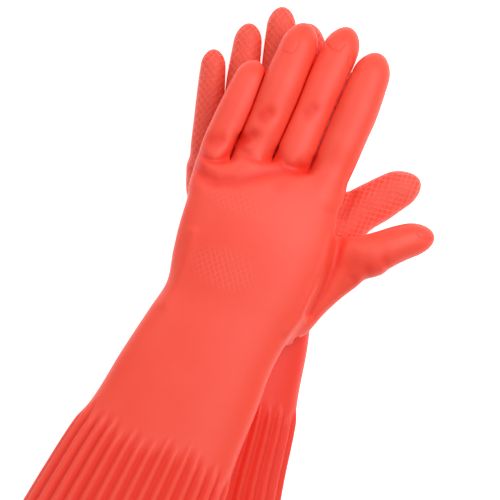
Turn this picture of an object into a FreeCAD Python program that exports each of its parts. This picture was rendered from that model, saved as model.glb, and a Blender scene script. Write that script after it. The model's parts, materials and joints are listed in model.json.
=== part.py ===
import FreeCAD, Part
import os

# A pair of long rubber household gloves, the left one lying on the right one, palm to palm.
# Each glove is a dipped latex shell. It is divided where it flexes: a stiff section, a
# flex band at each knuckle, middle joint and wrist, and the next section. A glove is drawn
# in its own frame: x across the hand towards the thumb, y towards the fingertips, z up from
# the side it lies on, with the origin at the middle of the line of finger crotches.
# A tube is drawn along its own z first, so a section's "along" is its place on that axis.

Vector = FreeCAD.Vector
Rotation = FreeCAD.Rotation
Placement = FreeCAD.Placement
ACROSS = Vector(1, 0, 0)
UP = Vector(0, 0, 1)
TUBE_TO_GLOVE = Rotation(ACROSS, -90)

DIMENSIONS = (
    # walls
    ("wall", 0.6, "latex wall"),
    ("flock", 0.3, "cotton flock lining"),
    ("flock_gap", 0.1, "glue line between latex and flock"),
    ("flat", 1.2, "how far the side a glove lies on is pressed flat"),
    ("bead", 1.1, "radius of the rolled bead at the cuff mouth"),
    # hand
    ("knuckle_width", 90, "hand across the knuckles"),
    ("knuckle_thick", 24, ""),
    ("knuckle_across", 2, "its centre, towards the thumb"),
    ("palm_width", 91, "hand across the ball of the thumb"),
    ("palm_thick", 31, ""),
    ("palm_across", 7, ""),
    ("palm_along", 50, "distance behind the crotch line"),
    ("wrist_width", 84, "hand at the wrist"),
    ("wrist_thick", 31, ""),
    ("left_wrist_across", 12, ""),
    ("right_wrist_across", 7.5, ""),
    ("hand_length", 96, "crotch line to wrist band"),
    ("web_wall", 1.0, "wall between the finger roots"),
    # sleeve and cuff: the right ones lean towards the little finger, from the wrist on
    ("wrist_band", 16, "length of the flexing wrist"),
    ("sleeve_width", 86, "sleeve next to the wrist band"),
    ("sleeve_thick", 32, ""),
    ("left_sleeve_across", 10, ""),
    ("right_sleeve_across", 6.5, ""),
    ("left_sleeve_length", 70, ""),
    ("right_sleeve_length", 50, "shorter, because this sleeve is bunched up"),
    ("cuff_width", 96, "where the pleats start"),
    ("cuff_thick", 37, ""),
    ("left_cuff_across", 8, ""),
    ("right_cuff_across", 0, ""),
    ("cuff_length", 98, "pleated length"),
    ("mouth_width", 119, "cuff mouth"),
    ("mouth_thick", 42, ""),
    ("left_mouth_across", 5, ""),
    ("right_mouth_across", -14, ""),
    # finger roots, in the hand's frame
    ("stub", 3, "finger root that belongs to the hand"),
    ("thumb_stub", 20, ""),
    ("thumb_across", 47, ""),
    ("thumb_along", -62, ""),
    ("thumb_up", 3, "how far the thumb sits off the hand's middle, to the palm side"),
    ("thumb_ball_width", 46, "where the thumb runs out into the palm"),
    ("thumb_ball_thick", 26, ""),
    ("thumb_ball_across", 11, "its centre, towards the wrist"),
    ("thumb_ball_along", -15, ""),
    ("index_across", 34.4, ""),
    ("index_along", 5, ""),
    ("middle_across", 9.4, ""),
    ("middle_along", 6, ""),
    ("ring_across", -14.6, ""),
    ("ring_along", -2, ""),
    ("left_little_across", -37.2, ""),
    ("right_little_across", -33.8, ""),
    ("little_along", -17, ""),
    # fingers: length runs from the root to the tip, bend is the place of the middle joint
    ("roundness", 0.82, "thickness of a finger over its width"),
    ("band_share", 0.86, "length of a flex band over the finger's thickness"),
    ("thumb_band_share", 0.55, "shorter, because the thumb bends less"),
    ("tip_share", 0.9, "how a finger narrows: width at 0.7 of its length over the width at its root"),
    ("left_thumb_width", 26, ""),
    ("left_thumb_length", 86, ""),
    ("left_thumb_bend", 55, ""),
    ("left_index_width", 25.2, ""),
    ("left_index_length", 81, ""),
    ("left_index_bend", 42, ""),
    ("left_middle_width", 23.6, ""),
    ("left_middle_length", 87.5, ""),
    ("left_middle_bend", 46, ""),
    ("left_ring_width", 23, ""),
    ("left_ring_length", 86, ""),
    ("left_ring_bend", 45, ""),
    ("left_little_width", 21, ""),
    ("left_little_length", 66.5, ""),
    ("left_little_bend", 35, ""),
    # the right glove's fingers are drawn in a little, as they are on an empty glove
    ("right_thumb_width", 26, ""),
    ("right_thumb_length", 75, ""),
    ("right_thumb_bend", 49, ""),
    ("right_index_width", 22.4, ""),
    ("right_index_length", 72, ""),
    ("right_index_bend", 38, ""),
    ("right_middle_width", 21, ""),
    ("right_middle_length", 78.5, ""),
    ("right_middle_bend", 41, ""),
    ("right_ring_width", 20, ""),
    ("right_ring_length", 73, ""),
    ("right_ring_bend", 39, ""),
    ("right_little_width", 17.4, ""),
    ("right_little_length", 67, ""),
    ("right_little_bend", 36, ""),
    # finger directions in degrees from the glove's own axis, positive towards the thumb
    ("left_thumb_turn", 48, ""),
    ("left_index_turn", -1.6, ""),
    ("left_middle_turn", -2, ""),
    ("left_ring_turn", -2, ""),
    ("left_little_turn", 0.5, ""),
    ("right_thumb_turn", 53.5, ""),
    ("right_index_turn", -6, ""),
    ("right_middle_turn", -3.5, ""),
    ("right_ring_turn", 0, ""),
    ("right_little_turn", -1, ""),
    ("left_curl", 4, "degrees the fingertips bend towards the palm"),
    ("right_curl", 3, ""),
    # how each glove lies: its crotch line's place, turn about the vertical, slope along the glove
    ("left_x", -1.9, "centre of the left glove's crotch line"),
    ("left_y", 54.4, ""),
    ("left_up", 29.5, "underside of the left glove at its crotch line"),
    ("left_turn", -8.5, "degrees from +Y, positive to the left"),
    ("left_slope", -2.6, "degrees, negative where the cuff end is higher"),
    ("right_x", -17.7, "centre of the right glove's crotch line"),
    ("right_y", 66.1, ""),
    ("right_up", 0, ""),
    ("right_turn", 8.5, ""),
    ("right_slope", 0, ""),
)

FINGERS = ("thumb", "index", "middle", "ring", "little")
PALM_SIDE = {"left": -1, "right": 1}  # the left glove lies palm down, the right one palm up

WRIST_END = "-dims.hand_length"
SLEEVE_START = "-dims.hand_length - dims.wrist_band"

doc = FreeCAD.newDocument("rubber_gloves")
sheet = doc.addObject("Spreadsheet::Sheet", "dims")
for row, (alias, value, note) in enumerate(DIMENSIONS, start=1):
    sheet.set(f"A{row}", note)
    sheet.set(f"B{row}", str(value))
    sheet.setAlias(f"B{row}", alias)
doc.recompute()

parts = {}  # label: finished sub-part


def size(alias):
    return float(sheet.get(alias))


def ellipse(name, wide, thick, along, across="0", up="0", inset="0", tilt=0, pivot=0):
    """An oval section. tilt turns it about the line across the tube at the height pivot."""
    oval = doc.addObject("Part::Ellipse", name)
    oval.setExpression("MajorRadius", f"({wide}) / 2 - ({inset})")
    oval.setExpression("MinorRadius", f"({thick}) / 2 - ({inset})")
    if tilt:
        turn = Rotation(ACROSS, tilt)
        pivot_point = Vector(0, 0, pivot)
        doc.recompute([oval])
        rise = Vector(0, 0, along) - pivot_point
        oval.Placement = Placement(pivot_point + turn.multVec(rise), turn)
    else:
        oval.setExpression("Placement.Base.x", f"{across}")
        oval.setExpression("Placement.Base.y", f"-({up})")
        oval.setExpression("Placement.Base.z", f"{along}")
    return oval


def loft(name, sections):
    solid = doc.addObject("Part::Loft", name)
    solid.Sections = sections
    solid.Solid = True
    solid.Ruled = True
    return solid


def combine(kind, name, first, second):
    """A Part::Cut of two objects, or a Part::MultiFuse of several."""
    made = doc.addObject(kind, name)
    if kind == "Part::Cut":
        made.Base, made.Tool = first, second
    else:
        made.Shapes = [first, *second]
    return made


def flattened(name, solid, depth):
    """The solid with its underside cut flat, depth above the lowest line of its sections."""
    block = doc.addObject("Part::Box", f"{name}_flat")
    block.Length, block.Width, block.Height = 400, 50, 800
    block.Placement.Base = Vector(-200, 0, -500)
    block.setExpression("Placement.Base.y", f"-({depth})")
    return combine("Part::Cut", f"{name}_pressed", solid, block)


def keep(label, solid, placement):
    solid.Label = label
    solid.Placement = placement
    parts[label] = solid


# ---- sleeves: open tubes whose undersides all lie on one plane ----

def sleeve_loft(name, rings, inset):
    """rings are (width, thickness, along, across), as aliases or expressions."""
    ovals = []
    for number, (wide, thick, along, across) in enumerate(rings):
        ovals.append(ellipse(f"{name}_oval_{number}", wide, thick, along, across, f"({thick}) / 2", inset))
    return loft(f"{name}_loft", ovals)


def sleeve_solid(name, rings, inset):
    return flattened(name, sleeve_loft(name, rings, inset), f"dims.flat + {inset}")


def sleeve_tube(label, rings, outside="0", thickness="dims.wall"):
    """An open tube with its outer face set in by outside, and that thick."""
    outer = sleeve_solid(f"{label}_outer", rings, outside)
    inner = sleeve_solid(f"{label}_inner", rings, f"{outside} + {thickness}")
    return combine("Part::Cut", label, outer, inner)


def hand_rings(side, front):
    """The hand's ovals from the wrist to the front, which is an expression for its place."""
    return (
        ("dims.wrist_width", "dims.wrist_thick", WRIST_END, f"dims.{side}_wrist_across"),
        ("dims.palm_width", "dims.palm_thick", "-dims.palm_along", "dims.palm_across"),
        ("dims.knuckle_width", "dims.knuckle_thick", front, "dims.knuckle_across"),
    )


def hand_lining_rings(side):
    """The same, ending halfway between the palm's and the knuckles' ovals."""
    wrist, palm_ring, knuckle = hand_rings(side, "0")
    front = [f"({behind} + {ahead}) / 2" for behind, ahead in zip(palm_ring, knuckle)]
    return (wrist, palm_ring, front)


def wrist_rings(side):
    return (
        ("dims.sleeve_width", "dims.sleeve_thick", SLEEVE_START, f"dims.{side}_sleeve_across"),
        ("dims.wrist_width", "dims.wrist_thick", WRIST_END, f"dims.{side}_wrist_across"),
    )


def sleeve_rings(side):
    end = f"{SLEEVE_START} - dims.{side}_sleeve_length"
    return (
        ("dims.cuff_width", "dims.cuff_thick", end, f"dims.{side}_cuff_across"),
        ("dims.sleeve_width", "dims.sleeve_thick", SLEEVE_START, f"dims.{side}_sleeve_across"),
    )


def cuff_rings(side):
    start = f"{SLEEVE_START} - dims.{side}_sleeve_length"
    mouth = f"{start} - dims.cuff_length"
    return (
        ("dims.mouth_width", "dims.mouth_thick", mouth, f"dims.{side}_mouth_across"),
        ("dims.cuff_width", "dims.cuff_thick", start, f"dims.{side}_cuff_across"),
    )


def cuff_bead(label, side):
    """The rolled edge: a round cord of latex that follows the mouth's oval, just past it."""
    mouth_end = f"{SLEEVE_START} - dims.{side}_sleeve_length - dims.cuff_length"
    path = ellipse(
        f"{label}_path",
        "dims.mouth_width - 2 * dims.bead",
        "dims.mouth_thick - 2 * dims.bead - 2 * dims.flat",
        f"{mouth_end} - dims.bead",
        f"dims.{side}_mouth_across",
        "dims.mouth_thick / 2",
    )
    cord = doc.addObject("Part::Circle", f"{label}_cord")
    cord.setExpression("Radius", "dims.bead")
    cord.Placement.Rotation = Rotation(ACROSS, 90)
    cord.setExpression("Placement.Base.x", f"dims.{side}_mouth_across + dims.mouth_width / 2 - dims.bead")
    cord.setExpression("Placement.Base.y", "-dims.mouth_thick / 2")
    cord.setExpression("Placement.Base.z", f"{mouth_end} - dims.bead")
    roll = doc.addObject("Part::Sweep", label)
    roll.Sections = [cord]
    roll.Spine = (path, ["Edge1"])
    roll.Solid = True
    roll.Frenet = False
    return roll


# ---- fingers: "digit" is the side and the finger, as in left_index ----

def finger_stations(digit):
    """Places along a finger: end of the root, then both ends of each rigid section."""
    thick = size(f"{digit}_width") * size("roundness")
    band = thick * size("thumb_band_share" if digit.endswith("thumb") else "band_share")
    root = size("thumb_stub") if digit.endswith("thumb") else size("stub")
    bend = size(f"{digit}_bend")
    half = band * size("tip_share") / 2
    return {"root": root, "base": root + band, "base_end": bend - half, "bend": bend, "tip": bend + half}


def finger_width(digit, along):
    """Expression for the finger's width at a place along it."""
    share = f"({along}) / dims.{digit}_length"
    return f"dims.{digit}_width * (1 - (1 - dims.tip_share) * 2 * {share} * {share})"


def finger_oval(name, digit, along, inset="0", tilt=0, pivot=0):
    wide = finger_width(digit, along)
    return ellipse(name, wide, f"dims.roundness * {wide}", along, "0", "0", inset, tilt, pivot)


def finger_tube(label, digit, start, end, tilt=0, pivot=0):
    """An open piece of finger. With a tilt, its far end faces the way the tip section points."""
    solids = []
    for skin, inset in (("outer", "0"), ("inner", "dims.wall")):
        near = finger_oval(f"{label}_{skin}_near", digit, start, inset)
        far = finger_oval(f"{label}_{skin}_far", digit, end, inset, tilt, pivot)
        solids.append(loft(f"{label}_{skin}", [near, far]))
    return combine("Part::Cut", label, *solids)


def finger_tip(label, digit, start):
    """The closed end: a tube that runs into half an ellipsoid."""
    dome = size(f"{digit}_width") * 0.5
    dome_start = size(f"{digit}_length") - dome
    wide = finger_width(digit, dome_start)
    solids = []
    for skin, inset in (("outer", "0"), ("inner", "dims.wall")):
        near = finger_oval(f"{label}_{skin}_near", digit, start, inset)
        far = finger_oval(f"{label}_{skin}_far", digit, dome_start, inset)
        barrel = loft(f"{label}_{skin}_barrel", [near, far])
        end = doc.addObject("Part::Ellipsoid", f"{label}_{skin}_dome")
        end.setExpression("Radius1", f"{dome} - {inset}")
        end.setExpression("Radius2", f"{wide} / 2 - {inset}")
        end.setExpression("Radius3", f"dims.roundness * {wide} / 2 - {inset}")
        end.Angle1, end.Angle2 = 0, 90
        end.Placement.Base = Vector(0, 0, dome_start)
        solids.append(combine("Part::MultiFuse", f"{label}_{skin}_all", barrel, [end]))
    return combine("Part::Cut", label, *solids)


def finger_frame(side, finger):
    """Where a finger's root lies in its glove. The finger's straight axis is its +y."""
    up = size("knuckle_thick") / 2
    if finger == "thumb":
        up = size("palm_thick") / 2 + PALM_SIDE[side] * size("thumb_up")
    across = f"{side}_little_across" if finger == "little" else f"{finger}_across"
    root = Vector(size(across), size(f"{finger}_along"), up)
    return Placement(root, Rotation(UP, -size(f"{side}_{finger}_turn")))


def glove_frame(side):
    """Where a glove lies. Its flat underside, not the lowest line of its ovals, is at the height given."""
    turn = Rotation(UP, size(f"{side}_turn")).multiply(Rotation(ACROSS, size(f"{side}_slope")))
    place = Vector(size(f"{side}_x"), size(f"{side}_y"), size(f"{side}_up") - size("flat"))
    return Placement(place, turn)


def finger_root(name, side, finger, inset):
    """The part of the hand's skin that leads into a finger, with its near end inside the palm."""
    digit = f"{side}_{finger}"
    if finger == "thumb":
        near = ellipse(
            f"{name}_near", "dims.thumb_ball_width", "dims.thumb_ball_thick",
            "dims.thumb_ball_along", "dims.thumb_ball_across", "0", inset)
    else:
        inside = min(-14, -14 - size(f"{finger}_along"))
        near = finger_oval(f"{name}_near", digit, 0, inset)
        near.setExpression("Placement.Base.z", f"{inside}")
    far = finger_oval(f"{name}_far", digit, finger_stations(digit)["root"], inset)
    root = loft(name, [near, far])
    root.Placement = tube_in_hand(side, finger)
    return root


def palm(name, side, front, inset):
    """The hand without its fingers. Its front is stepped back where the little finger starts."""
    block = doc.addObject("Part::Box", f"{name}_step")
    block.Length, block.Width, block.Height = 100, 200, 100
    block.Placement.Base.y = -100
    edge = f"dims.{side}_little_across + dims.{side}_little_width / 2 + 0.8 + {inset}"
    block.setExpression("Placement.Base.x", f"{edge} - 100")
    block.setExpression("Placement.Base.z", f"dims.little_along - {inset}")
    return combine("Part::Cut", f"{name}_palm", sleeve_loft(name, hand_rings(side, front), inset), block)


def hand(label, side):
    """Palm and back in one shell, with the roots of the fingers standing out of it."""
    skins = []
    for skin, inset, front in (("outer", "0", "0"), ("inner", "dims.wall", "-dims.web_wall")):
        name = f"{label}_{skin}"
        body = palm(name, side, front, inset)
        roots = [finger_root(f"{name}_{finger}", side, finger, inset) for finger in FINGERS]
        joined = combine("Part::MultiFuse", f"{name}_all", body, roots)
        skins.append(flattened(name, joined, f"dims.flat + {inset}"))
    return combine("Part::Cut", label, *skins)


def tube_in_hand(side, finger):
    """A finger's placement in the frame the hand is drawn in, which is a tube along its own z."""
    back = Placement(Vector(), TUBE_TO_GLOVE).inverse()
    return back.multiply(finger_frame(side, finger)).multiply(Placement(Vector(), TUBE_TO_GLOVE))


def build_glove(side):
    tube = Placement(Vector(), TUBE_TO_GLOVE)
    frame = glove_frame(side)
    lies = frame.multiply(tube)
    glued = "dims.wall + dims.flock_gap"
    pieces = {
        "hand": hand(f"{side}_hand", side),
        "hand_lining": sleeve_tube(f"{side}_hand_lining", hand_lining_rings(side), glued, "dims.flock"),
        "wrist_band": sleeve_tube(f"{side}_wrist_band", wrist_rings(side)),
        "sleeve": sleeve_tube(f"{side}_sleeve", sleeve_rings(side)),
        "sleeve_lining": sleeve_tube(f"{side}_sleeve_lining", sleeve_rings(side), glued, "dims.flock"),
        "cuff": sleeve_tube(f"{side}_cuff", cuff_rings(side)),
        "cuff_bead": cuff_bead(f"{side}_cuff_bead", side),
    }
    for name, solid in pieces.items():
        keep(f"{side}_{name}", solid, lies)
    curl = PALM_SIDE[side] * size(f"{side}_curl")
    for finger in FINGERS:
        digit = f"{side}_{finger}"
        at = finger_stations(digit)
        straight = frame.multiply(finger_frame(side, finger)).multiply(tube)
        hinge = Placement(Vector(0, 0, at["bend"]), Rotation(ACROSS, curl))
        curled = straight.multiply(hinge).multiply(Placement(Vector(0, 0, -at["bend"]), Rotation()))
        keep(f"{digit}_knuckle", finger_tube(f"{digit}_knuckle", digit, at["root"], at["base"]), straight)
        keep(f"{digit}_base", finger_tube(f"{digit}_base", digit, at["base"], at["base_end"]), straight)
        joint = finger_tube(f"{digit}_joint", digit, at["base_end"], at["tip"], curl, at["bend"])
        keep(f"{digit}_joint", joint, straight)
        keep(f"{digit}_tip", finger_tip(f"{digit}_tip", digit, at["tip"]), curled)


for glove in PALM_SIDE:
    build_glove(glove)
doc.recompute()

broken = [item.Name for item in doc.Objects if {"Invalid", "Error"} & set(item.State)]
if broken:
    raise SystemExit(f"failed to recompute: {broken}")

# Centre the pair on the origin, standing on z = 0.
whole = Part.makeCompound([part.Shape for part in parts.values()])
box = whole.optimalBoundingBox(False, False)
shift = Vector(-box.Center.x, -box.Center.y, -box.ZMin)
for part in parts.values():
    part.Placement = Placement(shift, Rotation()).multiply(part.Placement)
doc.recompute()

os.makedirs("parts", exist_ok=True)
for label, part in parts.items():
    shape = part.Shape
    if shape.isNull() or not shape.isValid() or not shape.Solids:
        raise SystemExit(f"{label} has no valid solid")
    shape.exportStep(f"parts/{label}.step")
    print(f"{label:24s} {len(shape.Solids)} solid, {shape.Volume / 1000:8.3f} cm3")
print(f"box {box.XLength:.1f} x {box.YLength:.1f} x {box.ZLength:.1f} mm, moved by {shift}")
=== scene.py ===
import json
import math

import bpy
import numpy as np
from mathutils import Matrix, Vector


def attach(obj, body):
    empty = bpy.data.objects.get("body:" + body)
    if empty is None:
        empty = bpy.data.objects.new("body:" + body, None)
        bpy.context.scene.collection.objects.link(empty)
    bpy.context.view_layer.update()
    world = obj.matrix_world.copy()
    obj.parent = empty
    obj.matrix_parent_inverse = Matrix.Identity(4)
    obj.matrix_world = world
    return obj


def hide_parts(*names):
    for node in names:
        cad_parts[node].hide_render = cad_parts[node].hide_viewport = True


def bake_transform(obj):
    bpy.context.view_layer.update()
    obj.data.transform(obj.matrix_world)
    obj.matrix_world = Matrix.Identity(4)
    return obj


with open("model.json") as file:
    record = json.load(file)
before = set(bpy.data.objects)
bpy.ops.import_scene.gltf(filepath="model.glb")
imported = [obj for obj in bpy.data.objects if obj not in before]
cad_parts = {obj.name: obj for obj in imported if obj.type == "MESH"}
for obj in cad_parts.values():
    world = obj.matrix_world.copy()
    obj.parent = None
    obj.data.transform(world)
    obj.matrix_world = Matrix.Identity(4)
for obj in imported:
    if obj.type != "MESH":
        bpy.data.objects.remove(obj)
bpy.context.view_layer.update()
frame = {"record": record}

joints = {j["name"]: j for j in frame["record"]["behaviour"]["joints"]}
fingerNames = ("thumb", "index", "middle", "ring", "little")
palmSign = {"left": -1, "right": 1}  # the left glove's palm faces down, the right one's up
wallThickness = 0.6  # all shape numbers here are in mm, in the glove's own frame
liningThickness = 0.3


# a frame: x across towards the thumb, y towards the fingertips, z up
class Axes:
    def __init__(self, origin, x, z):
        self.origin = np.array(origin, float)
        self.turn = np.stack([x, np.cross(z, x), z])  # rows are the axes

    def toWorld(self, points):
        return self.origin + 0.001 * (points @ self.turn)

    def toLocal(self, points):
        return (points - self.origin) * 1000 @ self.turn.T


def unit(v):
    v = np.array(v, float)
    return v / np.linalg.norm(v)


def fingerAxes(side, finger, bend):
    knuckle = joints[f"{side}_{finger}_knuckle_bend"]
    tip = joints[f"{side}_{finger}_tip_bend"]
    x = unit(knuckle["axis"])
    along = unit(np.subtract(tip["pos_m"], knuckle["pos_m"]))
    return Axes(np.array(tip["pos_m"]) - 0.001 * bend * along, x, np.cross(x, along))


def gloveAxes(side):
    wrist = joints[f"{side}_wrist_fold"]
    upward = fingerAxes(side, "middle", 0).turn[2]
    place = Axes(wrist["pos_m"], unit(wrist["axis"]), upward)
    hinge = handShape[side]["wristHinge"]
    place.origin = place.toWorld(-np.array(hinge, float))
    return place


bodyPower = 2.25  # roundness of the body's section, where 2 is an ellipse

# body: y, centre x, half width, half thickness, from the mouth to the knuckles
handShape = {
    "left": dict(
        wristHinge=(12, -104, 15.5),
        body=((-283, 5.8, 58.8, 21), (-232, 6.7, 54.5, 20), (-200, 7.5, 51, 19.2), (-182, 8.4, 48.2, 18.5),
              (-150, 9.4, 45.6, 17.4), (-118, 10.6, 42.2, 16.4), (-100, 12.6, 41.6, 15.8),
              (-80, 11.8, 45.6, 15.6), (-65, 10, 47, 15.6), (-50, 8.6, 47.8, 15.4), (-25, 5, 46.6, 14.2),
              (0, 2, 44, 12), (30, 0, 44, 10)),
        seam=-94, cuffStart=-182, mouth=-280, thumbPlane=50, thumbEnd=66),
    "right": dict(
        wristHinge=(7.5, -104, 15.5),
        body=((-263, -14.5, 59.8, 21), (-215, -8, 54.8, 20), (-180, -1.8, 50.8, 19), (-162, 0.6, 48.4, 18.3),
              (-130, 5.2, 45.4, 17), (-112, 7.1, 43.2, 16.2), (-98, 8.4, 41.8, 15.7), (-80, 8.6, 42.6, 15.6),
              (-50, 7, 45.4, 15.5), (-25, 3.8, 45.6, 14.2), (0, 2, 45, 12), (30, 0, 44, 10)),
        seam=-94, cuffStart=-162, mouth=-260, thumbPlane=50, thumbEnd=67),
}



# width and length, places of the middle joint and of the root's seam, length of the flexible band,
# tip's curl in degrees, lift, sideways bow halfway and lean at the tip, sideways shift at the root
def digit(width, length, bend, band, tipCurl, root=2.4, lift=0, bow=0, lean=0, rootShift=0):
    return dict(width=width, length=length, bend=bend, band=band, tipCurl=tipCurl, root=root,
                lift=lift, bow=bow, lean=lean, rootShift=rootShift)


fingerShape = {
    "left": dict(
        thumb=digit(26.6, 86, 55, 11.7, 3, root=46),
        index=digit(26.6, 81.4, 42, 17.8, 4, lift=1.6, bow=-0.2, lean=-1),
        middle=digit(25.6, 87.8, 46, 16.6, 4, lift=-0.8, lean=1.2),
        ring=digit(25.6, 86.4, 45, 16.2, 4, lift=1.2, bow=0.4),
        little=digit(22, 66.8, 35, 14.8, 4, bow=1.2, lean=0.4, rootShift=6)),
    "right": dict(
        thumb=digit(26.6, 76.4, 49, 11.7, 3, root=42),
        index=digit(22.6, 72, 38, 15.8, 3, lean=-4.5),
        middle=digit(21.2, 78.5, 41, 14.8, 3),
        ring=digit(20.4, 73, 39, 14.1, 3),
        little=digit(18.2, 68.4, 36, 12.3, 3, bow=1, rootShift=3)),
}
overlapping = {  # (under, over)
    "left": (("middle", "index"), ("middle", "ring"), ("little", "ring")), "right": ()}


# shapes are fields: below 0 inside, about a distance in mm
def smooth(t):
    t = np.clip(t, 0, 1)
    return t * t * (3 - 2 * t)


# a smooth function of y through rows of (y, values...)
def curveThrough(knots):
    knots = np.array(knots, float)
    ys, values = knots[:, 0], knots[:, 1:]
    slopes = np.gradient(values, ys, axis=0)

    def at(y):
        y = np.clip(y, ys[0], ys[-1])
        k = np.clip(np.searchsorted(ys, y) - 1, 0, len(ys) - 2)
        span = (ys[k + 1] - ys[k])[..., None]
        t = (y - ys[k])[..., None] / span
        a, b = values[k], values[k + 1]
        return ((2 * t**3 - 3 * t**2 + 1) * a + (t**3 - 2 * t**2 + t) * span * slopes[k]
                + (3 * t**2 - 2 * t**3) * b + (t**3 - t**2) * span * slopes[k + 1])
    return at


def blendMin(a, b, k):
    h = np.clip(0.5 + 0.5 * (b - a) / k, 0, 1)
    return b + (a - b) * h - k * h * (1 - h)


def blendMax(a, b, k):
    return -blendMin(-a, -b, k)


# x and y of the line where the body ends and the fingers go on
knuckleLine = ((-50, -23), (-31, -20.5), (-16, -9), (-2.5, -5), (10, -2), (21, -1.5), (35, 1), (50, -2))
knuckleThinning = 0.13
floorHeight = 1.2  # the lower face stays above this


def bodyField(side):
    section = curveThrough(handShape[side]["body"])
    line = curveThrough(knuckleLine)

    def fromKnuckles(x):
        return line(x)[:, 0]

    def field(p):
        cx, a, b = np.moveaxis(section(p[:, 1]), -1, 0)
        past = p[:, 1] - fromKnuckles(p[:, 0])
        thin = 1 - knuckleThinning * smooth((past + 20) / 20)
        x = np.abs(p[:, 0] - cx) / (a * (0.65 + 0.35 * thin))
        z = np.abs(p[:, 2] - b) / (b * thin)
        d = ((x**bodyPower + z**bodyPower) ** (1 / bodyPower) - 1) * b
        d = blendMax(d, past, 5)
        return blendMax(d, floorHeight - p[:, 2], 3)
    return field


# along the thumb, sideways shift, half width, half thickness
thumbSections = {
    "left": ((-20, 13.4, 23.6, 9), (-8, 10.2, 22.8, 9), (6, 4.6, 20.2, 9), (20, 0.6, 17.6, 9.2),
             (30, -1.4, 15.9, 9.6), (36, -2.2, 14.2, 10.2), (42, -1.6, 13.6, 10.2), (48, -1.6, 13.3, 10.2),
             (54, -2.6, 12.2, 10), (63, -3.5, 11.4, 9.6), (75, -3.4, 10.4, 8.8), (86, -2.4, 9.8, 8)),
    "right": ((-20, 13, 23, 13), (-8, 9.5, 21.5, 12.8), (6, 5, 18.4, 12), (20, -0.6, 15.6, 11.2),
              (32, -3.4, 13.8, 10.6), (48, -4.2, 13.6, 10.4), (60, -4.6, 12.6, 9.6), (76, -3.4, 10.4, 8.2)),
}
thumbOutward = np.array([math.cos(math.radians(8)), math.sin(math.radians(8)), 0])
skinReach = {"thumb": 14, "index": 4.5, "middle": 4.5, "ring": 4.5, "little": 4.5}
thumbDrop = {"left": 5, "right": 0}  # how far the thumb's root lies below its end


def fingerField(side, finger):
    shape = fingerShape[side][finger]
    axes = fingerAxes(side, finger, shape["bend"])
    half, length = shape["width"] / 2, shape["length"]
    curl = math.tan(math.radians(shape["tipCurl"])) * palmSign[side]
    dome = half * 1.15
    if finger == "thumb":
        widths = curveThrough(thumbSections[side])
    else:
        bow, lean, inward = shape["bow"], shape["lean"], shape["rootShift"]
        widths = curveThrough((
            (-20, inward, half * 0.84, half * 0.76), (-4, inward * 0.4, half * 0.93, half * 0.84),
            (6, bow * 0.6 + inward * 0.1, half * 0.97, half * 0.83),
            (length * 0.3, bow, half * 0.985, half * 0.8), (length * 0.52, bow, half * 1.0, half * 0.82),
            (length * 0.75, bow * 0.5 + lean * 0.6, half * 0.93, half * 0.74),
            (length, lean, half * 0.8, half * 0.62)))

    def field(world):
        q = axes.toLocal(world)
        cx, a, b = np.moveaxis(widths(q[:, 1]), -1, 0)
        x = q[:, 0] - cx
        z = q[:, 2] - curl * np.maximum(q[:, 1] - shape["bend"], 0)
        z = z - shape["lift"] * smooth((q[:, 1] - 2) / 18)
        if finger == "thumb":
            z = z - thumbDrop[side] * palmSign[side] * smooth((46 - q[:, 1]) / 30)
        past = np.maximum(q[:, 1] - (length - dome), 0) / dome
        before = np.maximum(-18 - q[:, 1], 0) / 8
        return (np.sqrt((x / a) ** 2 + (z / b) ** 2 + past**2 + before**2) - 1) * np.minimum(a, b)
    return field, axes


webs = {  # how softly each root runs into the palm
    "left": {"thumb": 5, "index": 6, "middle": 5, "ring": 5, "little": 6},
    "right": {"thumb": 10, "index": 6, "middle": 5, "ring": 5, "little": 6}}


class Glove:
    def __init__(self, side):
        self.side = side
        self.axes = gloveAxes(side)
        self.body = bodyField(side)
        self.fingers, self.fingerFrames = {}, {}
        for finger in fingerNames:
            self.fingers[finger], self.fingerFrames[finger] = fingerField(side, finger)

    def parts(self, p):
        world = self.axes.toWorld(p)
        return self.body(p), {f: self.fingers[f](world) for f in fingerNames}

    def oneFinger(self, body, fields, finger):
        d = blendMin(body, fields[finger], webs[self.side][finger])
        for under, over in overlapping[self.side]:
            if under == finger:
                d = blendMax(d, 0.35 - fields[over], 0.6)
        return d

    def fingerOnly(self, finger):
        def field(p):
            body, fields = self.parts(p)
            return self.oneFinger(body, fields, finger) - self.detail(p)
        return field

    # how far points lie on the palm's side of a finger's seam
    def beforeRoot(self, finger, p, world):
        if finger == "thumb":
            return handShape[self.side]["thumbPlane"] - 0.5 - p @ thumbOutward
        return fingerShape[self.side][finger]["root"] - self.fingerFrames[finger].toLocal(world)[:, 1]

    def hand(self, p):
        body, fields = self.parts(p)
        roots = [self.oneFinger(body, fields, f) for f in fingerNames]
        d = roots[0]
        for root in roots[1:]:
            d = np.minimum(d, root)
        return d - self.detail(p)

    def sleeve(self, p):
        thumb = {"thumb": self.fingers["thumb"](self.axes.toWorld(p))}
        return self.oneFinger(self.body(p), thumb, "thumb") - self.detail(p)

    def detail(self, p):
        return detailHeight(self.side, p)


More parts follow.
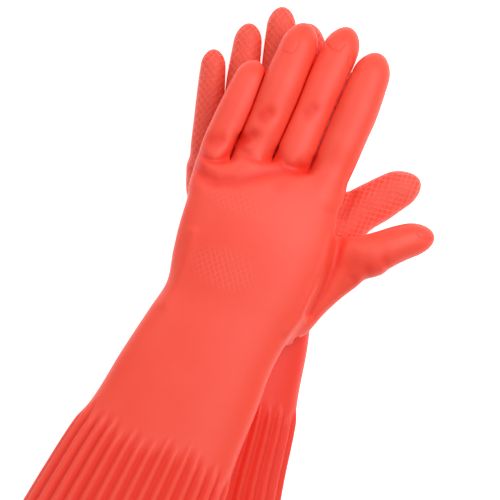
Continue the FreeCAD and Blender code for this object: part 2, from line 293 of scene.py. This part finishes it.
# folds on the upper face: half width, height (below 0 is pressed in), then points x, y
strokes = {
    "left": [
        (4.5, -1.3, ((-46, -25), (-36, -31), (-27, -31.5), (-16, -26), (-8, -18.5), (1, -11), (8, -6.5),
                     (15, -1))),
        (2.2, -1.2, ((-46, -18), (-39, -20.5), (-34.5, -20.5), (-30, -17.5), (-27, -10), (-26.5, 0))),
        (3, -0.9, ((-2, 3), (-2.5, -3), (-8, -8), (-15, -9), (-22, -6), (-25, 0))),
        (3, -0.9, ((21.5, 8), (21, 0), (15, -4), (8, -4), (2, -1))),
        (4.5, -0.5, ((18, -1), (13, -10), (7, -18))),
        (5, -1.2, ((-41, -9), (-36.5, -7))), (4, -1.5, ((-21.5, 2), (-19.5, 4.5))),
        (4.5, -1.4, ((-18.5, 17), (-16, 21))), (4, -1, ((6, 31), (8, 35))),
        (3.6, 0.6, ((-27, -66), (-23.5, -82), (-22.5, -98), (-24, -112))),
        (3.4, 0.5, ((49, -8), (52, -28), (54.5, -45), (55, -64), (55, -84), (52, -96))),
        (3.2, -1.5, ((52, -14), (57.5, -32), (60.5, -47), (61, -64), (60, -80))),
        (2.6, -0.5, ((93, -36), (88, -31))), (2.8, -0.6, ((84, -47), (80, -40))),
        (2.6, -0.5, ((79, -55), (74, -49))),
        (7, -0.6, ((68, -44), (84, -30))),
        (0.8, -0.4, ((-28, 67), (-27, 62.5), (-24, 60), (-20, 60.5), (-17.8, 64), (-18, 69))),
        (0.8, -0.4, ((-2.5, 80), (-1.5, 76.5), (3, 74), (7, 76), (8.2, 81))),
        (0.8, -0.4, ((15, 74.5), (16.5, 70), (21.5, 68), (25.5, 70.5), (26.3, 75))),
        (0.8, -0.4, ((98.5, -1.5), (98, -5), (100, -8), (104, -8.6), (108, -6.5))),
    ],
    "right": [
        (3, -0.8, ((60, -44), (66, -30))), (2, -0.6, ((-40, -14), (-31, -17), (-25, -14))),
    ],
}


def strokeDistance(points, path):
    path = np.array(path, float)
    best = np.full(len(points), 1e9)
    for a, b in zip(path[:-1], path[1:]):
        ab = b - a
        t = np.clip(((points - a) @ ab) / (ab @ ab), 0, 1)
        best = np.minimum(best, np.linalg.norm(points - a - t[:, None] * ab, axis=1))
    return best


def detailHeight(side, p):
    height = np.zeros(len(p))
    upper = smooth((p[:, 2] - 9) / 8)
    for width, rise, path in strokes[side]:
        path = np.array(path, float)
        low, high = path.min(0) - 3 * width, path.max(0) + 3 * width
        near = np.all((p[:, :2] > low) & (p[:, :2] < high), axis=1)
        if near.any():
            far = strokeDistance(p[near, :2], path)
            height[near] += rise * np.exp(-((far / width) ** 2)) * upper[near]
    return height


def gradient(field, p, h=0.25):
    g = np.empty_like(p)
    for k in range(3):
        step = np.zeros(3)
        step[k] = h
        g[:, k] = (field(p + step) - field(p - step)) / (2 * h)
    return g


# moves points onto the surface of a field, within their own y where planar
def settle(field, p, rounds=4, planar=False):
    for _ in range(rounds):
        g = gradient(field, p)
        if planar:
            g[:, 1] = 0
        size = np.maximum((g**2).sum(1), 0.05)
        move = -(field(p) / size)[:, None] * g
        length = np.linalg.norm(move, axis=1, keepdims=True)
        p = p + move * np.minimum(1, 1.5 / np.maximum(length, 1e-9))
    return p


# points and quads where the field changes sign on a grid
def surfaceNet(field, low, high, step):
    low, high = np.array(low, float), np.array(high, float)
    counts = np.ceil((high - low) / step).astype(int) + 1
    axes = [low[k] + step * np.arange(counts[k]) for k in range(3)]
    grid = np.stack(np.meshgrid(*axes, indexing="ij"), -1)
    value = field(grid.reshape(-1, 3)).reshape(counts)
    inside = value < 0
    cells = tuple(counts - 1)

    def part(array, offset):
        return array[tuple(slice(o, o + c) for o, c in zip(offset, cells))]

    total = np.zeros(cells, int)
    for offset in np.ndindex(2, 2, 2):
        total += part(inside, offset)
    active = (total > 0) & (total < 8)
    index = np.full(cells, -1)
    index[active] = np.arange(active.sum())
    sums, hits = np.zeros((active.sum(), 3)), np.zeros(active.sum())
    for axis in range(3):
        unitStep = np.eye(3, dtype=int)[axis]
        for offset in np.ndindex(2, 2, 2):
            if offset[axis]:
                continue
            a = part(value, offset)[active]
            b = part(value, tuple(np.array(offset) + unitStep))[active]
            cross = (a < 0) != (b < 0)
            t = np.where(cross, a / np.where(cross, a - b, 1), 0)
            start = np.stack([part(grid[..., k], offset)[active] for k in range(3)], 1)
            sums += cross[:, None] * (start + (t * step)[:, None] * unitStep)
            hits += cross
    points = sums / hits[:, None]
    quads = []
    for axis in range(3):
        b, c = (axis + 1) % 3, (axis + 2) % 3
        here = [slice(1, n - 1) for n in counts]
        there = list(here)
        here[axis], there[axis] = slice(0, counts[axis] - 1), slice(1, counts[axis])
        first, second = inside[tuple(here)], inside[tuple(there)]
        place = np.argwhere(first != second)
        outward = first[tuple(place.T)]
        place[:, b] += 1
        place[:, c] += 1
        around = []
        for ob, oc in ((-1, -1), (0, -1), (0, 0), (-1, 0)):
            cell = place.copy()
            cell[:, b] += ob
            cell[:, c] += oc
            around.append(index[tuple(cell.T)])
        quad = np.stack(around, 1)
        quad[~outward] = quad[~outward][:, ::-1]
        quads.append(quad)
    quads = np.concatenate(quads)
    return points, quads[(quads >= 0).all(1)]


def triangles(quads):
    return np.concatenate([quads[:, [0, 1, 2]], quads[:, [0, 2, 3]]])


# keeps the part of a triangle mesh where side, a number per point, is not above 0
def clip(points, tris, side):
    keep = side[tris] <= 0
    count = keep.sum(1)
    made, keys = [], []
    pieces = [tris[count == 3]]

    def cut(a, b):
        low, high = np.minimum(a, b), np.maximum(a, b)
        keys.append(low * len(points) + high)
        return len(keys) - 1

    pending = []
    for kept in (1, 2):
        rows, mask = tris[count == kept], keep[count == kept]
        lone = np.argmax(mask if kept == 1 else ~mask, axis=1)
        r = np.arange(len(rows))
        a, b, c = rows[r, lone], rows[r, (lone + 1) % 3], rows[r, (lone + 2) % 3]
        pending.append((kept, a, b, c, cut(a, b), cut(a, c)))
    unique, inverse = np.unique(np.concatenate(keys), return_inverse=True)
    starts = np.cumsum([0] + [len(k) for k in keys])
    ends = [inverse[starts[k]:starts[k + 1]] + len(points) for k in range(len(keys))]
    low, high = unique // len(points), unique % len(points)
    t = (side[low] / (side[low] - side[high]))[:, None]
    made = points[low] + t * (points[high] - points[low])
    for kept, a, b, c, ab, ac in pending:
        if kept == 1:
            pieces.append(np.stack([a, ends[ab], ends[ac]], 1))
        else:
            pieces.append(np.stack([b, c, ends[ac]], 1))
            pieces.append(np.stack([b, ends[ac], ends[ab]], 1))
    allPoints, faces = np.concatenate([points, made]), np.concatenate(pieces)
    used, faces = np.unique(faces, return_inverse=True)
    return allPoints[used], faces.reshape(-1, 3)


# adds the inner side and the rims, so that a skin is a closed solid
def shell(points, faces, normals, thickness):
    n = len(points)
    faces = [tuple(int(v) for v in f) for f in faces]
    edges = {}
    for f in faces:
        for a, b in zip(f, f[1:] + f[:1]):
            edges[(a, b)] = True
    rims = [(b, a, a + n, b + n) for a, b in edges if (b, a) not in edges]
    inner = [tuple(v + n for v in reversed(f)) for f in faces]
    return (np.concatenate([points, points - thickness * normals]), faces + inner + rims,
            np.concatenate([normals, -normals]))


def addMesh(name, axes, points, faces, normals, material, attributes=None):
    mesh = bpy.data.meshes.new(name)
    mesh.from_pydata(axes.toWorld(points).tolist(), [], faces)
    mesh.polygons.foreach_set("use_smooth", [True] * len(mesh.polygons))
    for key, values in (attributes or {}).items():
        layer = mesh.attributes.new(key, "FLOAT", "POINT")
        layer.data.foreach_set("value", values.astype(np.float32))
    if normals is not None:
        turned = normals @ axes.turn
        turned /= np.maximum(np.linalg.norm(turned, axis=1, keepdims=True), 1e-9)
        mesh.normals_split_custom_set_from_vertices(turned.tolist())
    mesh.materials.append(material)
    mesh.validate()
    piece = bpy.data.objects.new(name, mesh)
    bpy.context.scene.collection.objects.link(piece)
    return piece


def nodeTree(material):
    material.use_nodes = True
    tree = material.node_tree
    tree.nodes.clear()
    return tree


def addNode(tree, kind, inputs=None, **settings):
    node = tree.nodes.new(kind)
    for key, value in settings.items():
        setattr(node, key, value)
    for key, value in (inputs or {}).items():
        if isinstance(value, bpy.types.NodeSocket):
            tree.links.new(value, node.inputs[key])
        else:
            node.inputs[key].default_value = value
    return node


def math2(tree, operation, a, b=0.0, clampIt=False):
    node = addNode(tree, "ShaderNodeMath", {0: a, 1: b}, operation=operation, use_clamp=clampIt)
    return node.outputs[0]


def diamondGroup():
    # crossed raised lines round small diamonds, for the grip on palm and fingers
    group = bpy.data.node_groups.new("gripDiamonds", "ShaderNodeTree")
    for name in ("across", "along", "pitch", "amount"):
        group.interface.new_socket(name, in_out="INPUT", socket_type="NodeSocketFloat")
    group.interface.new_socket("height", in_out="OUTPUT", socket_type="NodeSocketFloat")
    inputs = addNode(group, "NodeGroupInput").outputs
    grooves = []
    for operation in ("ADD", "SUBTRACT"):
        slant = math2(group, operation, inputs["across"], math2(group, "MULTIPLY", inputs["along"], 0.8))
        turns = math2(group, "DIVIDE", slant, inputs["pitch"])
        wave = math2(group, "MULTIPLY", math2(group, "PINGPONG", turns, 0.5), 2.0)
        grooves.append(math2(group, "MULTIPLY", wave, 3.5, True))
    lines = math2(group, "SUBTRACT", 1.0, math2(group, "MINIMUM", *grooves))
    out = addNode(group, "NodeGroupOutput")
    group.links.new(math2(group, "MULTIPLY", lines, inputs["amount"]), out.inputs["height"])
    return group


# faint mottling and orange-peel of dipped rubber
def rubberGrainGroup():
    group = bpy.data.node_groups.new("rubberGrain", "ShaderNodeTree")
    group.interface.new_socket("size", in_out="INPUT", socket_type="NodeSocketFloat")
    group.interface.new_socket("height", in_out="OUTPUT", socket_type="NodeSocketFloat")
    group.interface.new_socket("mottle", in_out="OUTPUT", socket_type="NodeSocketFloat")
    place = addNode(group, "ShaderNodeTexCoord").outputs["Object"]
    size = addNode(group, "NodeGroupInput").outputs["size"]
    fine = addNode(group, "ShaderNodeTexNoise", {
        "Vector": place, "Scale": size, "Detail": 4.0, "Roughness": 0.6})
    broad = addNode(group, "ShaderNodeTexNoise", {
        "Vector": place, "Scale": 38.0, "Detail": 3.0, "Roughness": 0.5})
    out = addNode(group, "NodeGroupOutput")
    group.links.new(fine.outputs["Fac"], out.inputs["height"])
    group.links.new(broad.outputs["Fac"], out.inputs["mottle"])
    return group


# the darkest red is painted shade, mixed in where folds, pleat valleys and gaps between fingers lie in shade
latexLook = dict(
    colour=(0.91, 0.064, 0.034, 1), paler=(0.95, 0.095, 0.06, 1), crease=(0.8, 0.018, 0.008, 1),
    gripLine=(0.98, 0.26, 0.2, 1), gripPaleness=0.5, roughness=0.42,
    subsurface=0.15, subsurfaceRadius=(1.0, 0.2, 0.1), subsurfaceScale=0.003,
    specular=0.32, grainSize=900.0, grainDepth=0.00003, gripPitch=3.9, gripDepth=0.0003)
beadLook = dict(colour=(0.88, 0.075, 0.045, 1), roughness=0.4, grainSize=700.0, grainDepth=0.00005)
flockLook = dict(colour=(0.86, 0.42, 0.35, 1), fleck=(0.95, 0.62, 0.55, 1), roughness=0.95, sheen=0.3,
                 fibreSize=1500.0, fibreDepth=0.0003)


def attribute(tree, name):
    return addNode(tree, "ShaderNodeAttribute", attribute_name=name).outputs["Fac"]


def latexMaterial(grain, diamonds):
    look = latexLook
    material = bpy.data.materials.new("coralLatex")
    tree = nodeTree(material)
    grainNode = addNode(tree, "ShaderNodeGroup", {}, node_tree=grain)
    grainNode.inputs["size"].default_value = look["grainSize"]
    mottled = addNode(tree, "ShaderNodeMix", {
        "Factor": math2(tree, "MULTIPLY", grainNode.outputs["mottle"], 0.8),
        "A": look["colour"], "B": look["paler"]}, data_type="RGBA")
    grip = addNode(tree, "ShaderNodeGroup", {}, node_tree=diamonds)
    lined = addNode(tree, "ShaderNodeMix", {
        "Factor": math2(tree, "MULTIPLY", grip.outputs["height"], look["gripPaleness"]),
        "A": mottled.outputs["Result"], "B": look["gripLine"]}, data_type="RGBA")
    # painted shade: the colour turns to the darkest red as the shade attribute rises in folds, pleat valleys
    # and finger gaps
    deep = addNode(tree, "ShaderNodeMix", {
        "Factor": attribute(tree, "crease"),
        "A": lined.outputs["Result"], "B": look["crease"]}, data_type="RGBA")
    for name, key in (("across", "gripAcross"), ("along", "gripAlong"), ("amount", "gripAmount")):
        tree.links.new(attribute(tree, key), grip.inputs[name])
    grip.inputs["pitch"].default_value = look["gripPitch"]
    roughBump = addNode(tree, "ShaderNodeBump", {
        "Height": grainNode.outputs["height"], "Distance": look["grainDepth"], "Strength": 1.0})
    gripBump = addNode(tree, "ShaderNodeBump", {
        "Height": grip.outputs["height"], "Distance": look["gripDepth"], "Strength": 1.0,
        "Normal": roughBump.outputs["Normal"]})
    shader = addNode(tree, "ShaderNodeBsdfPrincipled", {
        "Base Color": deep.outputs["Result"], "Roughness": look["roughness"],
        "Subsurface Weight": look["subsurface"], "Subsurface Radius": look["subsurfaceRadius"],
        "Subsurface Scale": look["subsurfaceScale"], "Specular IOR Level": look["specular"],
        "Normal": gripBump.outputs["Normal"]})
    addNode(tree, "ShaderNodeOutputMaterial", {"Surface": shader.outputs["BSDF"]})
    return material


def beadMaterial(grain):
    look = beadLook
    material = bpy.data.materials.new("rolledEdge")
    tree = nodeTree(material)
    grainNode = addNode(tree, "ShaderNodeGroup", {}, node_tree=grain)
    grainNode.inputs["size"].default_value = look["grainSize"]
    bump = addNode(tree, "ShaderNodeBump", {
        "Height": grainNode.outputs["height"], "Distance": look["grainDepth"]})
    shader = addNode(tree, "ShaderNodeBsdfPrincipled", {
        "Base Color": look["colour"], "Roughness": look["roughness"], "Normal": bump.outputs["Normal"]})
    addNode(tree, "ShaderNodeOutputMaterial", {"Surface": shader.outputs["BSDF"]})
    return material


def flockMaterial():
    look = flockLook
    material = bpy.data.materials.new("cottonFlock")
    tree = nodeTree(material)
    place = addNode(tree, "ShaderNodeTexCoord").outputs["Object"]
    fibres = addNode(tree, "ShaderNodeTexNoise", {
        "Vector": place, "Scale": look["fibreSize"], "Detail": 6.0, "Roughness": 0.75})
    mixed = addNode(tree, "ShaderNodeMix", {
        "Factor": fibres.outputs["Fac"], "A": look["colour"], "B": look["fleck"]}, data_type="RGBA")
    bump = addNode(tree, "ShaderNodeBump", {"Height": fibres.outputs["Fac"], "Distance": look["fibreDepth"]})
    shader = addNode(tree, "ShaderNodeBsdfPrincipled", {
        "Base Color": mixed.outputs["Result"], "Roughness": look["roughness"],
        "Sheen Weight": look["sheen"], "Normal": bump.outputs["Normal"]})
    addNode(tree, "ShaderNodeOutputMaterial", {"Surface": shader.outputs["BSDF"]})
    return material


gripPatches = {"left": ((-11, -38, 19, 7), (-1, -78, 21, 12)), "right": ()}  # x, y, half sizes: show-through


# where the diamonds lie: on the palm side of the whole hand, with a trace on the left one's back; also the
# painted shade at each point
def gripAttributes(side, points, normals, crease=None):
    palmward = normals[:, 2] * palmSign[side]
    amount = smooth((palmward - 0.05) / 0.35) * smooth((points[:, 1] + 104) / 20)
    for x, y, wide, tall in gripPatches[side]:
        spread = ((points[:, 0] - x) / wide) ** 2 + ((points[:, 1] - y) / tall) ** 2
        amount = np.maximum(amount, 0.28 * smooth(1.5 - spread) * (palmward < 0))
    # painted shade in pressed-in folds: darker where the strokes press the upper face in
    folds = 0.65 * smooth(-detailHeight(side, points) / 1.6)
    return {"gripAcross": points[:, 0], "gripAlong": points[:, 1], "gripAmount": amount,
            "crease": folds if crease is None else crease}


def latexSkin(name, axes, points, faces, normals, values, materials):
    solid, allFaces, allNormals = shell(points, faces, normals, wallThickness)
    doubled = {key: np.concatenate([v, v]) for key, v in values.items()}
    piece = addMesh(name, axes, solid, allFaces, allNormals, materials["latex"], doubled)
    return piece


def netSkin(name, axes, field, points, tris, materials, attributes):
    normals = gradient(field, points)
    normals /= np.maximum(np.linalg.norm(normals, axis=1, keepdims=True), 1e-9)
    return latexSkin(name, axes, points, tris, normals, attributes(points, normals), materials)


netStep = {"hand": 1.0, "finger": 0.9}  # size of the grid that each skin is made on


def addHand(glove, materials):
    side = glove.side
    seam = handShape[side]["seam"]
    points, quads = surfaceNet(glove.hand, (-54, seam - 3, -2), (80, 16, 36), netStep["hand"])
    points = settle(glove.hand, points)
    body, fields = glove.parts(points)
    world = glove.axes.toWorld(points)
    whole = {f: glove.oneFinger(body, fields, f) for f in fingerNames}
    cutAway = seam - points[:, 1]
    for finger in fingerNames:
        others = np.min([whole[f] for f in fingerNames if f != finger], axis=0)
        past = -glove.beforeRoot(finger, points, world)
        owned = np.minimum(skinReach[finger] - fields[finger], others - whole[finger] + 1e-4)
        cutAway = np.maximum(cutAway, np.minimum(past, owned))
    points, tris = clip(points, triangles(quads), cutAway)
    piece = netSkin(f"{side}_handSkin", glove.axes, glove.hand, points, tris, materials,
                    lambda p, n: gripAttributes(side, p, n))
    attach(piece, f"{side}_palm")
    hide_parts(f"{side}_hand")


def addFinger(glove, finger, materials):
    side = glove.side
    shape = fingerShape[side][finger]
    axes = glove.fingerFrames[finger]
    whole = glove.fingerOnly(finger)

    def toGlove(q):
        return glove.axes.toLocal(axes.toWorld(q))

    def field(q):
        return whole(toGlove(q))

    half, bend, band = shape["width"] / 2, shape["bend"], shape["band"]
    isThumb = finger == "thumb"
    wide, start = (half + 30, -40) if isThumb else (half + 4, shape["root"] - 3)
    points, quads = surfaceNet(field, (-wide, start, -half - 5), (wide, shape["length"] + 3, half + 5),
                               netStep["finger"])
    points = settle(field, points)
    world = axes.toWorld(points)
    raw = glove.fingers[finger](world)
    behind = glove.beforeRoot(finger, glove.axes.toLocal(world), world)
    base, baseEnd = 3 + band, bend - band * 0.45
    middle = shape["root"] if isThumb else (base + baseEnd) / 2
    tris = triangles(quads)
    if isThumb:
        plane = [glove.axes.toWorld(handShape[side][key] * thumbOutward)
                 for key in ("thumbPlane", "thumbEnd")]
    else:
        plane = axes.toWorld(np.array([[0, 3, 0], [0, base, 0]], float))
    sections = (
        ("rootSkin", np.maximum(behind, points[:, 1] - middle), (f"{side}_palm", f"{side}_{finger}_root"),
         plane, (f"{side}_{finger}_knuckle", f"{side}_{finger}_base")),
        ("tipSkin", middle - points[:, 1], (f"{side}_{finger}_root", f"{side}_{finger}_end"),
         axes.toWorld(np.array([[0, baseEnd, 0], [0, bend + band * 0.45, 0]], float)),
         (f"{side}_{finger}_joint", f"{side}_{finger}_tip")))
    for label, outside, bodies, flex, nodes in sections:
        cutAway = np.maximum(outside, raw - skinReach[finger])
        part, partTris = clip(points, tris, cutAway)

        def attributes(q, n):
            at = axes.toWorld(q)
            inGlove = glove.axes.toLocal(at)
            values = gripAttributes(side, inGlove, n)
            values["gripAcross"], values["gripAlong"] = q[:, 0], q[:, 1]
            values["gripAmount"] = smooth((n[:, 2] * palmSign[side] + 0.15) / 0.4)
            # painted shade between fingers: darker where another finger lies close
            gap = np.min([glove.fingers[f](at) for f in fingerNames if f != finger], axis=0)
            values["crease"] = np.maximum(values["crease"], 0.85 * smooth(1 - gap / 2.6))
            return values

        piece = netSkin(f"{side}_{finger}_{label}", axes, field, part, partTris, materials, attributes)
        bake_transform(piece)
        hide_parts(*nodes)


pleats = {  # depth and place where each pleat fades in, in mm behind the start of the cuff
    # the last number paints shadow onto the lower (right) glove's sleeve, growing from the wrist towards the
    # mouth, where the upper glove shades it
    "left": dict(count=33, depth=2.0, fadeIn=14, stagger=2.6, sleeveShadow=0),
    "right": dict(count=33, depth=2.0, fadeIn=12, stagger=2.2, sleeveShadow=0.5),
}
columnsPerPleat = 9
rowStep = 1.5


outlineSamples = 1441
outlineFloor = 1.3


# points evenly spaced round the body's section at y
def sectionOutline(section, y, count):
    cx, a, b = section(np.array([float(y)]))[0]
    t = np.linspace(0, 2 * math.pi, outlineSamples)
    x = cx + a * np.sign(np.cos(t)) * np.abs(np.cos(t)) ** (2 / bodyPower)
    z = np.maximum(b + b * np.sign(np.sin(t)) * np.abs(np.sin(t)) ** (2 / bodyPower), outlineFloor)
    length = np.concatenate([[0], np.cumsum(np.hypot(np.diff(x), np.diff(z)))])
    at = np.linspace(0, length[-1], count + 1)[:-1]
    return np.stack([np.interp(at, length, x), np.full(count, float(y)), np.interp(at, length, z)], 1)


# outward normals of a grid of rings
def gridNormals(grid):
    around = np.roll(grid, -1, axis=1) - np.roll(grid, 1, axis=1)
    along = np.gradient(grid, axis=0)
    n = np.cross(along, around)
    n = n / np.maximum(np.linalg.norm(n, axis=2, keepdims=True), 1e-9)
    inward = (n[0, 0] * (grid[0, 0] - grid[0].mean(0))).sum() < 0
    return -n if inward else n


def gridFaces(rows, columns):
    r, c = np.meshgrid(np.arange(rows - 1), np.arange(columns), indexing="ij")
    a, b = r * columns + c, r * columns + (c + 1) % columns
    return np.stack([a, a + columns, b + columns, b], -1).reshape(-1, 4)


# turns the faces round where they look against the normals
def facingOut(points, faces, normals):
    a, b, c = (points[faces[:, k]] for k in range(3))
    inward = (np.cross(b - a, c - a) * normals[faces[:, 0]]).sum() < 0
    return faces[:, ::-1] if inward else faces


def evenRows(start, end):
    return np.linspace(start, end, int((start - end) / rowStep))


def addForearm(glove, materials):
    side, shape, fold = glove.side, handShape[glove.side], pleats[glove.side]
    section = curveThrough(shape["body"])
    columns = fold["count"] * columnsPerPleat
    sleeveRows = evenRows(shape["seam"], shape["cuffStart"])
    cuffRows = evenRows(shape["cuffStart"], shape["mouth"])
    ys = np.concatenate([sleeveRows, cuffRows[1:]])
    outline = np.concatenate([sectionOutline(section, y, columns) for y in ys])
    smoothGrid = settle(glove.sleeve, outline, 14, planar=True).reshape(len(ys), columns, 3)
    turn = np.arange(columns) / columnsPerPleat
    number = np.floor(turn)
    wave = (0.5 - 0.5 * np.cos(2 * math.pi * turn)) ** 1.1
    starts = shape["cuffStart"] - 3 - fold["stagger"] * (np.sin(number * 2.4) + np.sin(number * 0.7 + 1))
    reach = smooth((starts[None, :] - ys[:, None]) / fold["fadeIn"])
    pointed = wave[None, :] ** (1 + 3 * (1 - reach))
    rise = fold["depth"] * reach * (pointed - 0.35)
    grid = smoothGrid + rise[..., None] * gridNormals(smoothGrid)
    grid[..., 2] = np.maximum(grid[..., 2], floorHeight)
    finished = gridNormals(grid)
    nearSeam = ys > shape["seam"] - 8
    flat = grid[nearSeam].reshape(-1, 3)
    seamNormals = gradient(glove.sleeve, flat)
    seamNormals /= np.linalg.norm(seamNormals, axis=1, keepdims=True)
    finished[nearSeam] = seamNormals.reshape(-1, columns, 3)
    # painted shade in the pleat valleys, and painted shadow on the lower glove's sleeve towards the mouth
    crease = 0.75 * reach * smooth(1 - 1.25 * wave[None, :])
    crease = np.maximum(crease, fold["sleeveShadow"] * smooth((-90 - ys[:, None]) / 40))
    split = len(sleeveRows)
    wristEnds = glove.axes.toWorld(np.array([[0, -96, 0], [0, -112, 0]], float))
    for label, rows in (("sleeveSkin", slice(0, split)), ("cuffSkin", slice(split - 1, None))):
        part, partNormals = grid[rows].reshape(-1, 3), finished[rows].reshape(-1, 3)
        faces = facingOut(part, gridFaces(len(ys[rows]), columns), partNormals)
        values = gripAttributes(side, part, partNormals, crease[rows].reshape(-1))
        piece = latexSkin(f"{side}_{label}", glove.axes, part, faces, partNormals, values, materials)
        if label == "sleeveSkin":
            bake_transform(piece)
            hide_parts(f"{side}_wrist_band", f"{side}_sleeve")
        else:
            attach(piece, f"{side}_forearm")
            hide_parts(f"{side}_cuff")
    addBead(glove, grid[-1], materials)
    addLining(glove, materials)


beadShape = dict(radius=1.25, sides=10, inset=0.9)


# the rolled edge: a round cord of latex that follows the fluted mouth
def addBead(glove, rim, materials):
    path = (rim + np.roll(rim, 1, 0) + np.roll(rim, -1, 0)) / 3
    path[:, 2] = np.maximum(path[:, 2], floorHeight + beadShape["radius"])
    path[:, 1] -= beadShape["inset"]
    tangent = np.roll(path, -1, 0) - np.roll(path, 1, 0)
    tangent /= np.linalg.norm(tangent, axis=1, keepdims=True)
    back = np.array([0.0, 1.0, 0.0])
    out = np.cross(tangent, back)
    out /= np.linalg.norm(out, axis=1, keepdims=True)
    angles = np.arange(beadShape["sides"]) * 2 * math.pi / beadShape["sides"]
    ring = np.cos(angles)[None, :, None] * out[:, None] + np.sin(angles)[None, :, None] * back
    normals = ring.reshape(-1, 3)
    points = (path[:, None] + beadShape["radius"] * ring).reshape(-1, 3)
    n, m = len(path), beadShape["sides"]
    i, j = np.meshgrid(np.arange(n), np.arange(m), indexing="ij")
    k, l = (i + 1) % n, (j + 1) % m
    faces = np.stack([i * m + j, i * m + l, k * m + l, k * m + j], -1).reshape(-1, 4)
    faces = facingOut(points, faces, normals)
    piece = addMesh(f"{glove.side}_cuffBead", glove.axes, points, [tuple(int(v) for v in f) for f in faces],
                    normals, materials["bead"])
    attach(piece, f"{glove.side}_forearm")
    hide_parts(f"{glove.side}_cuff_bead")


liningShape = dict(columns=96, start=-52, mouthGap=5, step=4.0, inset=1.1, cuffInset=1.3)


# the cotton flock inside, from the palm to a little inside the mouth, further in behind the pleats
def addLining(glove, materials):
    body, lining = handShape[glove.side], liningShape
    section, columns = curveThrough(body["body"]), lining["columns"]
    ys = np.arange(lining["start"], body["mouth"] + lining["mouthGap"], -lining["step"])
    outline = np.concatenate([sectionOutline(section, y, columns) for y in ys])
    outline = outline.reshape(len(ys), columns, 3)
    normals = gridNormals(outline)
    inset = lining["inset"] + lining["cuffInset"] * smooth((body["cuffStart"] + 6 - ys) / 20)
    inner = (outline - inset[:, None, None] * normals).reshape(-1, 3)
    normals = normals.reshape(-1, 3)
    faces = facingOut(inner, gridFaces(len(ys), columns), normals)
    solid, allFaces, allNormals = shell(inner, faces, normals, liningThickness)
    piece = addMesh(f"{glove.side}_flockLining", glove.axes, solid, allFaces, allNormals,
                    materials["flock"])
    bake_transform(piece)
    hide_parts(f"{glove.side}_hand_lining", f"{glove.side}_sleeve_lining")


studio = dict(floorSize=3.0, floorZ=-0.0005, floorColour=(0.95, 0.95, 0.95, 1), floorGlow=0.72,
              worldStrength=0.36, lightSize=0.9, keyPower=9.8, keyPlace=(0.42, 0.45, 1.0),
              fillPower=3.4, fillPlace=(-0.55, 0.6, 0.8))
cameraPlace = dict(x=-0.0073, y=0.0357, z=0.945, roll=16.5, lens=104.5)


def addStudio():
    size, z = studio["floorSize"], studio["floorZ"]
    mesh = bpy.data.meshes.new("floor")
    mesh.from_pydata([(-size, -size, z), (size, -size, z), (size, size, z), (-size, size, z)],
                     [], [(0, 1, 2, 3)])
    material = bpy.data.materials.new("paleFloor")
    tree = nodeTree(material)
    shader = addNode(tree, "ShaderNodeBsdfPrincipled", {
        "Base Color": studio["floorColour"], "Roughness": 0.9, "Emission Color": (1, 1, 1, 1),
        "Emission Strength": studio["floorGlow"]})
    addNode(tree, "ShaderNodeOutputMaterial", {"Surface": shader.outputs["BSDF"]})
    mesh.materials.append(material)
    floor = bpy.data.objects.new("floor", mesh)
    bpy.context.scene.collection.objects.link(floor)
    world = bpy.data.worlds.new("softbox")
    world.use_nodes = True
    backdrop = world.node_tree.nodes["Background"]
    backdrop.inputs["Color"].default_value = (1, 1, 1, 1)
    seen = addNode(world.node_tree, "ShaderNodeLightPath").outputs["Is Camera Ray"]  # white where seen
    brightness = addNode(world.node_tree, "ShaderNodeMath", {0: seen, 1: studio["worldStrength"]},
                         operation="MAXIMUM")
    world.node_tree.links.new(brightness.outputs[0], backdrop.inputs["Strength"])
    bpy.context.scene.world = world
    for name, power, place in (("keyLight", studio["keyPower"], studio["keyPlace"]),
                               ("fillLight", studio["fillPower"], studio["fillPlace"])):
        light = bpy.data.lights.new(name, "AREA")
        light.energy, light.size = power, studio["lightSize"]
        lamp = bpy.data.objects.new(name, light)
        lamp.location = place
        lamp.rotation_euler = (-Vector(place)).to_track_quat("-Z", "Y").to_euler()
        bpy.context.scene.collection.objects.link(lamp)


def addCamera():
    camera = bpy.data.cameras.new("camera")
    camera.lens, camera.sensor_width = cameraPlace["lens"], 36
    eye = bpy.data.objects.new("camera", camera)
    eye.location = (cameraPlace["x"], cameraPlace["y"], cameraPlace["z"])
    eye.rotation_euler = (0, 0, math.radians(cameraPlace["roll"]))
    bpy.context.scene.collection.objects.link(eye)
    bpy.context.scene.camera = eye


def main():
    bpy.context.scene.view_settings.view_transform = "Standard"
    grain = rubberGrainGroup()
    materials = {"latex": latexMaterial(grain, diamondGroup()), "bead": beadMaterial(grain),
                 "flock": flockMaterial()}
    print("materials made")
    for side in ("right", "left"):
        glove = Glove(side)
        addHand(glove, materials)
        print(f"{side} hand made")
        for finger in fingerNames:
            addFinger(glove, finger, materials)
        print(f"{side} fingers made")
        addForearm(glove, materials)
        print(f"{side} sleeve, cuff and lining made")
    addStudio()
    addCamera()
    print("studio and camera placed")


main()
bpy.context.view_layer.update()
